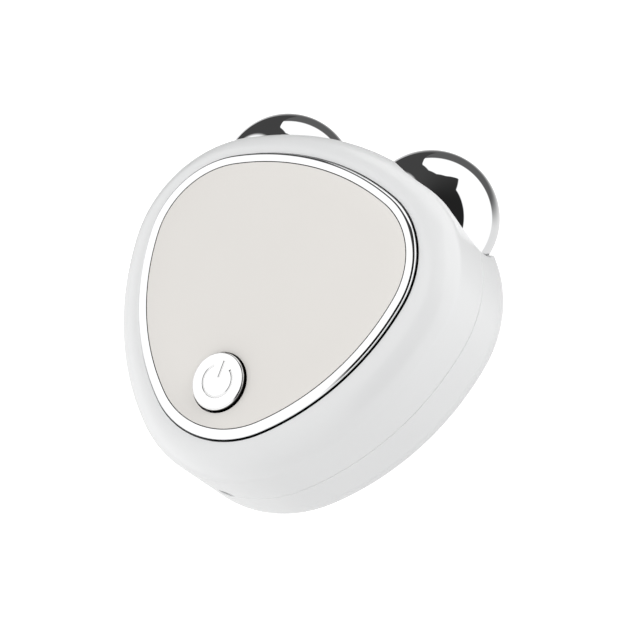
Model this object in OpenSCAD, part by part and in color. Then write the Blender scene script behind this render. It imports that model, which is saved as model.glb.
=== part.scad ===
// Hand-held facial toning device: a rounded-triangle housing, a face plate in a bright trim ring, a power
// button, and two bright balls that roll on stub axles in sockets at the front end.
// Lengths are millimetres and angles are degrees. +Z is the face's normal, +Y points to the balls.

/* [Face outline] */
// Sideways place of the centre of each front corner
front_corner_x = 10.3; // [9.8:0.1:11]
// Lengthwise place of the centres of the front corners
front_corner_y = 5.6; // [5:0.1:6.4]
// Radius of the front corners, at the outside of the trim ring
front_corner_r = 15.4; // [15:0.1:16]
// How far behind the middle of the face the tail corner has its centre
tail_corner_y = 9.8; // [9.2:0.1:10.4]
// Radius of the tail corner, at the outside of the trim ring
tail_corner_r = 16.8; // [16.2:0.1:17.4]
// Radius of the long sides between the corners
side_r = 41; // [38:0.5:48]
// Radius of the front edge between the balls
front_r = 43.7; // [40:0.1:50]

/* [Housing] */
// Height of the front face above the back
body_h = 26.6; // [26.2:0.1:28]
// Height of the parting line above the back
seam_z = 13.3; // [12.8:0.1:14]
// Radius of the front edge, which is also how far the side wall stands outside the trim ring
face_round = 5.3; // [5:0.1:6]
// Radius of the back edge
back_round = 7; // [6:0.1:8]
// Thickness of the side wall
wall = 1.8; // [1.6:0.1:2.2]
// Thickness of the back
back_t = 1.8; // [1.5:0.1:2.2]
// Thickness of the front deck under the face plate
deck_t = 1.6; // [1.4:0.1:2]
// Depth of the V groove along the parting line, in each half
seam_groove = 0.18; // [0.1:0.02:0.3]
// Width of the locating lip on the rear half
lip_t = 0.8; // [0.7:0.05:0.9]
// Height of the locating lip
lip_h = 1.2; // [0.8:0.1:1.6]

/* [Face plate and trim ring] */
// Width of the trim ring
ring_w = 1.6; // [1.45:0.05:1.8]
// How far the trim ring stands above the front face
ring_proud = 0.9; // [0.8:0.05:1.1]
// Width of the ring's outer rounding
ring_round_w = 0.8; // [0.6:0.05:0.8]
// Height of the ring's outer rounding
ring_round_h = 0.6; // [0.4:0.05:0.7]
// Width of the groove in the housing round the ring
groove_w = 0.2; // [0.15:0.05:0.3]
// Depth of that groove
groove_t = 0.7; // [0.4:0.05:0.8]
// Depth of the recess that holds the ring and the face plate
recess_t = 1.2; // [1.1:0.05:1.5]
// How far the top of the face plate's dome stands above the front face
dome_proud = 1.9; // [1.8:0.05:2.2]
// Radius of the face plate's dome
dome_r = 160; // [140:10:220]
// How far behind the middle of the face the top of the dome lies
dome_y = 2; // [0:0.5:4]
// Gap between the face plate and the ring
plate_gap = 0.15; // [0.1:0.05:0.25]
// Thickness of the adhesive film under the plate
film_t = 0.15; // [0.1:0.05:0.25]

/* [Power button] */
// How far behind the middle of the face the button lies
button_y = 17.4; // [16.8:0.1:17.8]
// Radius of the button cap
button_r = 4.8; // [4.4:0.1:5.2]
// How far the button stands above the plate round it
button_proud = 0.8; // [0.6:0.05:1]
// Bevel of the cap's top edge
button_bevel = 0.35; // [0.2:0.05:0.45]
// Travel of the button
button_travel = 0.6; // [0.3:0.1:0.8]
// Thickness of the flange that holds the cap under the deck
flange_t = 0.8; // [0.6:0.1:1.2]
// Radius of the button's stem
stem_r = 2; // [1.6:0.1:2.2]
// Depth of the mark engraved in the cap
mark_depth = 0.15; // [0.1:0.05:0.25]
// Radius of the power mark
mark_r = 2.7; // [2:0.1:3]
// Line width of the power mark
mark_w = 0.5; // [0.3:0.05:0.7]

/* [Rolling balls] */
// Radius of each ball
ball_r = 11.2; // [10.8:0.1:11.4]
// Sideways place of each ball's centre
ball_x = 14.7; // [14.4:0.1:15.2]
// Lengthwise place of the balls' centres, from the middle of the face
ball_y = 22.1; // [21.6:0.1:22.6]
// Height of the balls' centres above the back
ball_z = 12.4; // [12.2:0.1:12.8]
// Wall of the hollow ball
ball_wall = 1.6; // [1.2:0.1:2]
// Gap between a ball and its socket
ball_gap = 0.4; // [0.3:0.05:0.6]
// Wall of the socket cup inside the housing
cup_wall = 1.4; // [1.2:0.1:1.6]
// Splay of each axle from straight ahead
axle_splay = 25; // [22:1:28]
// Radius of the axle's journal
axle_r = 1.5; // [1.2:0.1:1.6]
// Outer radius of the bush in the ball
bush_r = 2.5; // [2.3:0.1:2.8]

/* [Charging socket] */
// Width of the socket's body
jack_w = 4.6; // [4.2:0.1:5]
// Height of the socket's body
jack_h = 3.2; // [3.1:0.05:3.3]
// Length of the socket's body
jack_l = 5.2; // [4.8:0.1:5.6]
// Outer radius of the sleeve that the plug goes into
sleeve_r = 1.3; // [1.25:0.05:1.45]
// Radius of the sleeve's bore
bore_r = 1.05; // [1:0.05:1.1]
// Radius of the socket's centre pin
pin_r = 0.25; // [0.2:0.05:0.35]
// How far the mouth lies behind the housing's surface
jack_recess = 0.5; // [0.3:0.1:0.9]
// Room between the sleeve and the opening in the wall
jack_room = 0.1; // [0.06:0.02:0.16]

/* [Inside] */
// Length of the battery
battery_l = 30; // [28:0.5:30]
// Width of the battery
battery_w = 15; // [13:0.5:15]
// Thickness of the battery
battery_t = 6; // [4.5:0.5:6.5]
// Thickness of the foam pad under the battery
pad_t = 0.4; // [0.3:0.1:0.8]
// Thickness of the circuit board
board_t = 1; // [0.8:0.1:1.2]
// Side of the push switch
switch_w = 6; // [5.6:0.1:6.2]
// Height of the push switch's body
switch_h = 3.5; // [3:0.1:4.3]
// Radius of the switch's plunger
plunger_r = 1.7; // [1.4:0.1:1.9]
// Side of the control chip
chip_w = 5; // [4:0.5:6]
// Thickness of the control chip
chip_t = 0.9; // [0.7:0.1:1.2]
// Radius of the coil's flanges
coil_r = 3; // [2.6:0.1:3.2]
// Height of the coil
coil_h = 3.6; // [3:0.1:4]
// How far the chip and the coil lie from the middle
chip_x = 9; // [8.5:0.1:9.5]
// Width of the battery's plug
plug_w = 3.4; // [3:0.1:3.6]
// Height of the battery's plug
plug_h = 2.2; // [1.8:0.1:2.4]
// Radius of the battery's leads
lead_r = 0.45; // [0.35:0.05:0.5]

/* [Fasteners] */
// Radius of the housing screws' shanks
screw_r = 1; // [0.9:0.05:1.1]
// Radius of the screw heads
head_r = 1.9; // [1.7:0.05:2]
// Height of the screw heads
head_t = 1.3; // [1:0.1:1.5]
// Radius of the screw posts
post_r = 2.6; // [2.4:0.1:2.8]

/* [Clearances] */
// Running clearance of a shaft in its bore
running = 0.04; // [0.02:0.01:0.08]
// Gap around pieces that are pressed or screwed in
seat = 0.02; // [0.01:0.01:0.04]
// Gap around pieces that drop into place
drop = 0.1; // [0.06:0.02:0.16]
// Gap between a moving piece and what it passes
pass = 0.3; // [0.25:0.01:0.35]

/* [Hidden] */
$fn = 96;
eps = 0.5;     // how far a cut runs past the face that it opens
far = 60;      // longer than any distance inside the part

// Centres of the outline's arcs. A long side touches a front corner and the tail corner from outside,
// and the front edge touches both front corners.
corner = [front_corner_x, front_corner_y];
tail = [0, -tail_corner_y];
to_tail = tail - corner;
span = norm(to_tail);
along = to_tail / span;
across = [along.y, -along.x];
reach_a = side_r - front_corner_r;
reach_b = side_r - tail_corner_r;
foot = (reach_a * reach_a - reach_b * reach_b + span * span) / (2 * span);
side_centre = corner + along * foot + across * sqrt(reach_a * reach_a - foot * foot);
front_centre = [0, corner.y - sqrt(pow(front_r - front_corner_r, 2) - corner.x * corner.x)];
function heading(from, to) = atan2(to.y - from.y, to.x - from.x);
a_front = heading(front_centre, corner);   // where the front corner runs into the front edge
a_side = heading(side_centre, corner);     // where it runs into the long side
a_tail = heading(side_centre, tail);       // where the long side runs into the tail corner
corner_steps = 12;
side_steps = 8;
edge_steps = 6;

// Levels and places that several pieces share
recess_z = body_h - recess_t;                // floor of the recess for the ring and the plate
deck_z = recess_z - deck_t;                  // underside of the front deck
cavity_out = face_round - wall;              // inside of the wall, from the ring's outline
wall_y = -tail_corner_y - tail_corner_r - face_round;   // outside of the housing at the tail
plate_in = ring_w + plate_gap;
dome_top = body_h + dome_proud;
dome_z = dome_top - dome_r;                  // middle of the dome's sphere
socket_r = ball_r + ball_gap;
cup_r = socket_r + cup_wall;
centre_y = (ball_y + ball_r + wall_y) / 2;   // middle of the whole length
board_top = seam_z - jack_h / 2;
board_z = board_top - board_t;
board_in = 0.4;                              // edge of the board, inside the ring's outline
board_front = -0.6;                          // front edge of the board
battery_y = -5.9;
battery_z = back_t + pad_t;
tab_t = 0.5;                                 // of the tab at the battery's end
plug_x = 14.4;
lead_y = -4.2;                               // middle of the two leads, from the middle of the battery
lead_gap = 1.2;
lead_z = battery_z + battery_t / 2;
lead_x = side_centre.x + sqrt(pow(side_r + 2, 2) - pow(battery_y + lead_y - side_centre.y, 2));

// Places of the screws, [x, y]
side_inset = post_r + 2;                     // from the ring's outline to a side post's centre
tail_inset = post_r + 1.3;
side_post = corner + (front_corner_r - side_inset) * [cos(5), -sin(5)];
tail_post = tail + (tail_corner_r - tail_inset) * [sin(55), -cos(55)];
board_post_r = 1.9;
board_post = [battery_l / 2 + board_post_r + 0.9, -5];
shoulder_r = post_r + 0.8;                   // of the steps on the tail posts that the board rests on
self_r = 0.8 * screw_r;                      // the small screws inside
self_head = 0.8 * head_r;
self_head_t = 0.9;
pilot_r = self_r + seat;
ear_r = 2.2;
ear_t = 1.2;
pilot_depth = 6;
counterbore = 3.2;                           // depth of the head's seat in the back
bracket_z = back_t + 2.2;                    // underside of the axle bracket
bracket_t = 2;
bracket_y0 = 2.2;
bracket_y1 = 8.4;
bracket_post = [14.6, 5.2];
bracket_post_r = 2.3;

// The button's stack, from the top down
button_lean = asin((button_y - dome_y) / dome_r);         // of the cap's face, with the plate round it
cap_top = dome_z + dome_r * cos(button_lean) + button_proud;   // at the middle of the cap
flange_top = deck_z - seat;
flange_z = flange_top - flange_t;
flange_r = button_r + 1.2;
button_hole = button_r + pass - running;
guide_floor = 1.2;
guide_z = flange_z - 4.9;
guide_in = flange_r + pass;
guide_r = guide_in + 0.8;
guide_ear = guide_r + ear_r + drop;          // from the button's centre to an ear's, fore and aft
boss_z = deck_z - 2;                         // underside of the bosses that hold the guide's ears
switch_top = board_top + switch_h;
plunger_up = 1;
parts_y = -8;                                // middle of the parts on the board
small_w = 1.2;
coil_flange = 0.6;
jack_mouth = wall_y + jack_recess;
jack_front = wall_y + wall + lip_t + drop;   // front of the socket's body, behind the wall and the lip
jack_back = jack_front + jack_l;
jack_end = 0.6;                              // of the body behind the bore

// Distances along an axle from the ball's centre, negative towards the housing
journal_in = -ball_r + 0.25;
bush_in = journal_in + 0.55;
bush_out = -2;
block_out = -17.2;
block_t = 3;
clamp_up = 4;                                // from an axle to the top of its block
nut_t = 1.8;
nut_r = 2 * axle_r + 0.1;
clamp_w = 2 * nut_r + 1.4;                   // width of the bracket's blocks that clamp the axles
axle_in = block_out - block_t - nut_t - 0.8;
collar_r = axle_r + 0.9;
hub_r = bush_r + 1.8;

// ---- Shapes that several pieces use ----

// Everything is drawn around the middle of the face, and this sets it over the origin.
module place() translate([0, -centre_y, 0]) children();

module both_sides() for (m = [0, 1]) mirror([m, 0, 0]) children();

// Points along an arc, without its last one
function arc(centre, r, a0, a1, steps) =
  [for (i = [0 : steps - 1]) let (a = a0 + (a1 - a0) * i / steps) centre + r * [cos(a), sin(a)]];

function flipped(p) = [-p.x, p.y];

// The face's outline at a distance outside the trim ring, anticlockwise from the right-hand corner
function outline(out) = concat(
  arc(corner, front_corner_r + out, a_side, a_front, corner_steps),
  arc(front_centre, front_r + out, a_front, 180 - a_front, side_steps),
  arc(flipped(corner), front_corner_r + out, 180 - a_front, 180 - a_side, corner_steps),
  arc(flipped(side_centre), side_r + out, 180 - a_side, 180 - a_tail, side_steps),
  arc(tail, tail_corner_r + out, 180 - a_tail, 360 + a_tail, corner_steps),
  arc(side_centre, side_r + out, a_tail, a_side, side_steps)
);

// Faces of a closed tube whose rings of points follow each other
function tube_faces(rings, sides) = concat(
  [for (i = [0 : rings - 2]) for (j = [0 : sides - 1])
    let (k = (j + 1) % sides) each [
      [i * sides + k, i * sides + j, (i + 1) * sides + k],
      [(i + 1) * sides + k, i * sides + j, (i + 1) * sides + j]]],
  [[for (j = [0 : sides - 1]) j]],
  [[for (j = [sides - 1 : -1 : 0]) (rings - 1) * sides + j]]
);

// A solid through the outline at each [distance outside the trim ring, height], from the bottom up
module loft(rings)
  polyhedron([for (r = rings) for (p = outline(r[0])) [p.x, p.y, r[1]]],
             tube_faces(len(rings), len(outline(0))));

// A quarter of an ellipse as such rings, between two angles
function edge(centre, rx, rz, a0, a1) =
  [for (i = [0 : edge_steps]) let (a = a0 + (a1 - a0) * i / edge_steps)
    centre + [rx * cos(a), rz * sin(a)]];

module slab(out, z0, z1) translate([0, 0, z0]) linear_extrude(z1 - z0) polygon(outline(out));

module band(out0, out1, z0, z1)
  difference() {
    slab(out1, z0, z1);
    slab(out0, z0 - eps, z1 + eps);
  }

module bar(r, z0, z1) translate([0, 0, z0]) cylinder(r = r, h = z1 - z0);

// A block centred on x, between two heights and two lengthwise places
module block(w, y0, y1, z0, z1) translate([-w / 2, y0, z0]) cube([w, y1 - y0, z1 - z0]);

// Along an axle: z runs from the ball's centre outward
module on_axle(side)
  translate([side * ball_x, ball_y, ball_z]) rotate([0, 0, -side * axle_splay]) rotate([-90, 0, 0])
    children();

module at_balls() for (side = [-1, 1]) on_axle(side) children();

// Spheres around the balls, with their poles sideways, clear of the axles
module sockets(r) both_sides() translate([ball_x, ball_y, ball_z]) rotate([0, 90, 0]) sphere(r);

module at_posts() both_sides() {
  translate(side_post) children();
  translate(tail_post) children();
}

module at_ears() for (e = [-1, 1]) translate([0, e * guide_ear - button_y, 0]) children();

// A round bar on the charging socket's axis, between two lengthwise places
module jack_bar(r, y0, y1)
  translate([0, y1, seam_z]) rotate([90, 0, 0]) cylinder(r = r, h = y1 - y0);

// A screw that points down from under its head at height z
module screw(r, length, z, head = head_r, head_h = head_t) {
  bar(r, z - length, z);
  difference() {
    bar(head, z, z + head_h);
    for (a = [0, 90]) rotate(a) translate([-head * 0.6, -head * 0.12, z + head_h * 0.6])
      cube([head * 1.2, head * 0.24, head_h]);
  }
}

// ---- Housing ----

module cuts_in_both() {
  sockets(socket_r);
  at_balls() bar(collar_r + pass, -cup_r - eps, -socket_r + eps);
  jack_bar(sleeve_r + jack_room, wall_y - eps, wall_y + wall + lip_t + eps);
}

front_edge = [0, body_h - face_round];               // centre of the front edge's rounding
back_edge = [face_round - back_round, back_round];   // and of the back edge's

module cavity()
  difference() {
    loft(concat(
      edge(back_edge, back_round - wall, back_round - back_t, -90, 0),
      edge(front_edge, cavity_out, deck_z - front_edge.y, 0, 90)
    ));
    sockets(cup_r);
  }

module front_shell() color("white") place()
  difference() {
    union() {
      difference() {
        loft(concat([[face_round - seam_groove, seam_z], [face_round, seam_z + seam_groove]],
                    edge(front_edge, face_round, face_round, 0, 90)));
        cavity();
      }
      at_posts() bar(post_r, seam_z, deck_z + eps);
      at_ears() bar(ear_r, boss_z, deck_z + eps);
    }
    slab(0, recess_z, body_h + eps);
    slab(groove_w, body_h - groove_t, body_h + eps);
    translate([0, -button_y, 0]) bar(button_hole, deck_z - eps, body_h);
    slab(cavity_out + lip_t + drop, seam_z - eps, seam_z + lip_h + drop);
    at_posts() bar(screw_r + seat, seam_z - eps, seam_z + pilot_depth);
    at_ears() bar(pilot_r, boss_z - eps, boss_z + 3);
    cuts_in_both();
  }

module rear_shell() color("white") place()
  difference() {
    union() {
      difference() {
        union() {
          loft(concat(edge(back_edge, back_round, back_round, -90, 0),
                      [[face_round, seam_z - seam_groove], [face_round - seam_groove, seam_z]]));
          slab(cavity_out + lip_t, seam_z - eps, seam_z + lip_h);
        }
        cavity();
      }
      at_posts() bar(post_r, back_t - eps, seam_z);
      both_sides() {
        translate(tail_post) bar(shoulder_r, back_t - eps, board_z);
        translate(board_post) bar(board_post_r, back_t - eps, board_z);
        translate(bracket_post) bar(bracket_post_r, back_t - eps, bracket_z);
      }
      battery_ribs();
    }
    at_posts() {
      bar(screw_r + drop, counterbore - eps, seam_z + eps);
      bar(head_r + drop, -eps, counterbore);
    }
    both_sides() {
      translate(board_post) bar(pilot_r, board_z - pilot_depth, board_z + eps);
      translate(bracket_post) bar(pilot_r, back_t / 2, bracket_z + eps);
    }
    cuts_in_both();
  }

// Low ribs that keep the battery from sliding
module battery_ribs()
  for (s = [-1, 1])
    translate([0, battery_y + s * (battery_w / 2 + drop + 0.5), 0])
      block(battery_l * 0.5, -0.5, 0.5, back_t - eps, battery_z + battery_t * 0.25);

module housing_screws() color("silver") place()
  at_posts() rotate([180, 0, 0])
    screw(screw_r, pilot_depth + seam_z - counterbore - 0.8, -counterbore, head_r, head_t);

module screw_plugs() color("gainsboro") place()
  at_posts() bar(head_r + drop - seat, 0.08, counterbore - head_t - drop);

// ---- Face ----

ring_top = body_h + ring_proud;
ring_in_h = 0.2;      // of the ring's sloping inner face

module trim_ring() color("silver") place()
  difference() {
    loft(concat([[-seat, recess_z]], edge([-seat - ring_round_w, ring_top - ring_round_h],
                                          ring_round_w, ring_round_h, 0, 90)));
    loft([[-ring_w, recess_z - eps], [-ring_w, ring_top - ring_in_h],
          [-seat - ring_round_w, ring_top], [-seat - ring_round_w, ring_top + eps]]);
  }

module face_plate() color("whitesmoke") place()
  difference() {
    intersection() {
      slab(-plate_in, recess_z + film_t, dome_top + 1);
      translate([0, -dome_y, dome_z]) rotate([0, 90, 0]) sphere(dome_r, $fn = 240);
    }
    translate([0, -button_y, 0]) bar(button_hole, recess_z, dome_top + 2);
  }

module plate_film() color("gainsboro") place()
  difference() {
    slab(-plate_in - drop, recess_z, recess_z + film_t);
    translate([0, -button_y, 0]) bar(button_hole + drop, recess_z - eps, recess_z + 1);
  }

// ---- Power button ----

module power_button() color("silver") place() translate([0, -button_y, 0])
  difference() {
    union() {
      intersection() {
        bar(button_r, flange_top - eps, cap_top + 2);
        on_cap() rotate_extrude() polygon([
          [0, 0], [button_r - button_bevel, 0], [button_r + 1, -button_bevel - 1],
          [button_r + 1, flange_top - cap_top - 2], [0, flange_top - cap_top - 2]
        ]);
      }
      bar(flange_r, flange_z, flange_top);
      bar(stem_r, switch_top + plunger_up, flange_z + eps);
    }
    on_cap() translate([0, 0, -mark_depth]) power_mark();
  }

// At the middle of the cap's face, which leans towards the tail
module on_cap() translate([0, 0, cap_top]) rotate([button_lean, 0, 0]) children();

// An open ring with a bar through its gap
module power_mark() {
  rotate(125) rotate_extrude(angle = 290) translate([mark_r - mark_w / 2, 0]) square([mark_w, 1]);
  translate([-mark_w / 2, mark_r * 0.2, 0]) cube([mark_w, mark_r * 1.05, 1]);
}

// A coil of round wire: rings of points along a helix, with its ends closed
spring_wire = 0.4;
spring_r = stem_r + pass + spring_wire / 2;
spring_turns = 5;
spring_steps = 20;
spring_sides = 8;
spring_low = guide_z + guide_floor + spring_wire / 2;
spring_high = flange_z - spring_wire / 2;
coil_points = [
  for (i = [0 : spring_turns * spring_steps])
    let (a = 360 * i / spring_steps, t = i / (spring_turns * spring_steps))
      for (j = [0 : spring_sides - 1])
        let (b = 360 * j / spring_sides, r = spring_r + spring_wire / 2 * cos(b))
          [r * cos(a), r * sin(a),
           spring_low + (spring_high - spring_low) * t + spring_wire / 2 * sin(b)]
];
coil_faces = tube_faces(spring_turns * spring_steps + 1, spring_sides);

module return_spring() color("silver") place() translate([0, -button_y, 0])
  polyhedron(coil_points, coil_faces);

module button_guide() color("ivory") place()
  difference() {
    union() {
      translate([0, -button_y, 0]) bar(guide_r, guide_z, deck_z);
      block(2 * ear_r, -button_y - guide_ear, -button_y + guide_ear, boss_z - ear_t, boss_z);
      at_ears() bar(ear_r, boss_z - ear_t, boss_z);
    }
    translate([0, -button_y, 0]) {
      bar(guide_in, guide_z + guide_floor, deck_z + eps);
      bar(stem_r + running, guide_z - eps, deck_z);
    }
    at_ears() bar(self_r + drop, boss_z - ear_t - eps, boss_z + eps);
  }

module guide_screws() color("silver") place()
  at_ears() translate([0, 0, boss_z - ear_t]) rotate([180, 0, 0])
    screw(self_r, 3.6, 0, self_head, self_head_t);

// ---- Circuit board and what is on it ----

module main_board() color("seagreen") place()
  difference() {
    union() {
      intersection() {
        slab(-board_in, board_z, board_top);
        block(far * 2, -far, board_front, board_z - eps, board_top + eps);
      }
      intersection() {
        slab(cavity_out - pass, board_z, board_top);
        block(jack_w + 1, -far, tail.y, board_z - eps, board_top + eps);
      }
    }
    both_sides() {
      translate(tail_post) bar(post_r + drop, board_z - eps, board_top + eps);
      translate(board_post) bar(self_r + drop, board_z - eps, board_top + eps);
    }
  }

module board_screws() color("silver") place()
  both_sides() translate([board_post.x, board_post.y, board_top])
    screw(self_r, board_t + pilot_depth - 2, 0, self_head, self_head_t);

module switch_body() color("dimgray") place() translate([0, -button_y, 0])
  difference() {
    union() {
      block(switch_w, -switch_w / 2, switch_w / 2, board_top, switch_top - 0.3);
      block(switch_w * 0.92, -switch_w * 0.46, switch_w * 0.46, board_top, switch_top);
    }
    bar(plunger_r + running, switch_top - button_travel - 1.2, switch_top + eps);
  }

module switch_plunger() color("black") place() translate([0, -button_y, 0])
  bar(plunger_r, switch_top - 1, switch_top + plunger_up);

module control_chip() color("black") place()
  translate([-chip_x, parts_y, board_top]) block(chip_w, -chip_w / 2, chip_w / 2, 0, chip_t);

// A bobbin: two flanges, a winding between them and a hole down its core
module pulse_coil() color("dimgray") place()
  translate([chip_x, parts_y, board_top]) difference() {
    union() {
      bar(coil_r, 0, coil_flange);
      bar(coil_r * 0.73, coil_flange / 2, coil_h - coil_flange / 2);
      bar(coil_r, coil_h - coil_flange, coil_h);
    }
    bar(coil_r * 0.27, coil_h / 2, coil_h + eps);
  }

// Small parts in two rows
module board_parts() color("tan") place()
  for (i = [0 : 4]) for (s = [-1, 1])
    translate([s * small_w * 1.8, parts_y + (i - 2) * small_w * 1.5, board_top])
      block(small_w, -small_w / 3, small_w / 3, 0, small_w * 0.6);

module charging_socket() color("silver") place()
  difference() {
    union() {
      block(jack_w, jack_front, jack_back, seam_z - jack_h / 2, seam_z + jack_h / 2);
      jack_bar(sleeve_r, jack_mouth, jack_front + eps);
    }
    jack_bar(bore_r, wall_y, jack_back - jack_end);
  }

module socket_pin() color("gold") place()
  jack_bar(pin_r, jack_mouth + 1.2, jack_back - jack_end);

// ---- Battery ----

module battery() color("silver") place()
  translate([0, battery_y, battery_z + battery_t / 2]) {
    r = battery_t / 2;
    block(battery_l - 2 * tab_t, -battery_w / 2 + r, battery_w / 2 - r, -r, r);
    for (s = [-1, 1]) translate([-battery_l / 2 + tab_t, s * (battery_w / 2 - r), 0])
      rotate([0, 90, 0]) cylinder(r = r, h = battery_l - 2 * tab_t);
    translate([battery_l / 2 - tab_t, -battery_w * 0.37, -r * 0.4])
      cube([tab_t, battery_w * 0.74, r * 0.8]);
  }

module battery_pad() color("black") place()
  translate([0, battery_y, 0])
    block(battery_l * 0.8, -battery_w * 0.28, battery_w * 0.28, back_t, battery_z);

module battery_plug() color("white") place()
  translate([plug_x, battery_y + lead_y, board_top]) block(plug_w, -1.6, 1.6, 0, plug_h);

// A lead leaves the battery's end, goes round the edge of the board and into the plug. Its route is given
// as shares of the way out to its widest place, or back from there, and of the way up to the plug.
lead_up = [
  [0, 0.05], [0.16, 0.05], [0.34, 0.07], [0.51, 0.12], [0.68, 0.22], [0.84, 0.37], [0.95, 0.54], [1, 0.72]
];
lead_back = [
  [1, 0.9], [0.94, 1.05], [0.83, 1.13], [0.67, 1.14], [0.49, 1.11], [0.31, 1.05], [0.16, 1.01], [0, 1]
];
function lead_between(x0, shares) =
  [for (p = shares)
    [x0 + p.x * (lead_x - x0), 0, lead_z + p.y * (board_top + plug_h / 2 - lead_z)]];
lead_route = concat(lead_between(battery_l / 2, lead_up), lead_between(plug_x + plug_w / 2, lead_back));
lead_sides = 8;
function lead_points(y) = [
  for (i = [0 : len(lead_route) - 1])
    let (a = lead_route[max(i - 1, 0)], b = lead_route[min(i + 1, len(lead_route) - 1)],
         d = (b - a) / norm(b - a), n = [-d.z, 0, d.x])
      for (j = [0 : lead_sides - 1])
        let (t = 360 * j / lead_sides)
          lead_route[i] + [0, y, 0] + lead_r * (cos(t) * n + sin(t) * [0, 1, 0])
];
module battery_leads() place()
  for (s = [0, 1]) color(s == 0 ? "red" : "black")
    polyhedron(lead_points(battery_y + lead_y + (s - 0.5) * lead_gap),
               tube_faces(len(lead_route), lead_sides));

// ---- Rolling balls ----

module axle_bracket() color("ivory") place()
  difference() {
    union() {
      block(2 * (bracket_post.x + bracket_post_r), bracket_y0, bracket_y1,
            bracket_z, bracket_z + bracket_t);
      at_balls() translate([-clamp_w / 2, -clamp_up, block_out - block_t])
        cube([clamp_w, clamp_up + ball_z - bracket_z - eps, block_t]);
    }
    at_balls() bar(axle_r + seat, block_out - block_t - eps, block_out + eps);
    both_sides() translate(bracket_post) bar(self_r + drop, bracket_z - eps, bracket_z + bracket_t + eps);
  }

module bracket_screws() color("silver") place()
  both_sides() translate([bracket_post.x, bracket_post.y, bracket_z + bracket_t])
    screw(self_r, bracket_t + bracket_z - back_t + 0.4, 0, self_head, self_head_t);

module ball(side) color("silver") place() on_axle(side)
  difference() {
    union() {
      difference() {
        sphere(ball_r);
        sphere(ball_r - ball_wall);
      }
      intersection() {
        sphere(ball_r - ball_wall / 2);
        bar(hub_r, -far, bush_out + 0.8);
      }
    }
    bar(bush_r + seat, -far, bush_out + 1);
  }

module bush(side) color("peru") place() on_axle(side)
  difference() {
    bar(bush_r, bush_in, bush_out);
    bar(axle_r + running, bush_in - eps, bush_out + eps);
  }

module washer(side) color("ivory") place() on_axle(side)
  difference() {
    bar(bush_r - drop, journal_in + 0.05, bush_in - 0.05);
    bar(axle_r + drop / 2, journal_in - eps, bush_in + eps);
  }

module axle(side) color("silver") place() on_axle(side) {
  bar(axle_r, axle_in, bush_out + 0.1 + eps);
  bar(collar_r, block_out, journal_in);
  bar(bush_r - 0.4, bush_out + 0.1, bush_out + 1.1);
}

module axle_nut(side) color("silver") place() on_axle(side)
  translate([0, 0, block_out - block_t - nut_t]) difference() {
    cylinder(r = nut_r, h = nut_t, $fn = 6);
    bar(axle_r + seat, -eps, nut_t + eps);
  }

// A bent strip from the board to the end of the axle
strip_t = 0.25;
strip_w = 2.4;
strip_up = 2.6;
strip_foot = 4.4;
module contact_spring(side) color("goldenrod") place() on_axle(side) {
  foot_y = ball_z - board_top;
  top_z = axle_in - seat;
  translate([-strip_w / 2, foot_y - strip_up, top_z - strip_t]) cube([strip_w, strip_up, strip_t]);
  translate([-strip_w / 2, foot_y - strip_t, top_z - strip_foot]) cube([strip_w, strip_t, strip_foot]);
}

module ball_left() ball(-1);
module bush_left() bush(-1);
module washer_left() washer(-1);
module axle_left() axle(-1);
module axle_nut_left() axle_nut(-1);
module contact_spring_left() contact_spring(-1);
module ball_right() ball(1);
module bush_right() bush(1);
module washer_right() washer(1);
module axle_right() axle(1);
module axle_nut_right() axle_nut(1);
module contact_spring_right() contact_spring(1);

front_shell();
rear_shell();
trim_ring();
face_plate();
plate_film();
power_button();
return_spring();
button_guide();
guide_screws();
switch_body();
switch_plunger();
main_board();
control_chip();
pulse_coil();
board_parts();
board_screws();
charging_socket();
socket_pin();
battery();
battery_pad();
battery_plug();
battery_leads();
axle_bracket();
bracket_screws();
ball_left();
bush_left();
washer_left();
axle_left();
axle_nut_left();
contact_spring_left();
ball_right();
bush_right();
washer_right();
axle_right();
axle_nut_right();
contact_spring_right();
housing_screws();
screw_plugs();
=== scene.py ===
"""The looks of the facial toning device: finer shells, ring, face plate, button, spring and balls over the
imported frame, a finish for every piece, and the camera, floor and light."""
import math

import bmesh
import bpy
from mathutils import Matrix, Vector
from mathutils.kdtree import KDTree


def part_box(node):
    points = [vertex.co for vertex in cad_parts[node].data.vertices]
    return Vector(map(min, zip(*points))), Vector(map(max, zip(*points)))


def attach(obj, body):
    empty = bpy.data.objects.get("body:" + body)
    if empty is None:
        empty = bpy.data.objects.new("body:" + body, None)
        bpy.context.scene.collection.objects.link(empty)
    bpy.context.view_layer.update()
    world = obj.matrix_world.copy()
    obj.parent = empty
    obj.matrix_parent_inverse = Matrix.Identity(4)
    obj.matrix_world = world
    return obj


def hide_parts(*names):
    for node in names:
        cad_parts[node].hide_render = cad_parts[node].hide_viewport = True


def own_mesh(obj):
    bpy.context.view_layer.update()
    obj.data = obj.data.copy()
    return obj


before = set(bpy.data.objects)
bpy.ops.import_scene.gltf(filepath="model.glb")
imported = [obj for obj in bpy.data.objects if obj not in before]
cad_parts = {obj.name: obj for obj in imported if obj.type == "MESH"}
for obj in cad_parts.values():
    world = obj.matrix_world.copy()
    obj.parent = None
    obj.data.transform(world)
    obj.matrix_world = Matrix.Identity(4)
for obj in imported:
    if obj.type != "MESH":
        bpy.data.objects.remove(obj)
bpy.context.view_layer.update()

MM = 0.001


def middle_of(node):
    low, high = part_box(node)
    return (low + high) / 2


# ---- Sizes, in metres: levels and places come from the frame, and the rest repeats the part's source ----

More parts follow.
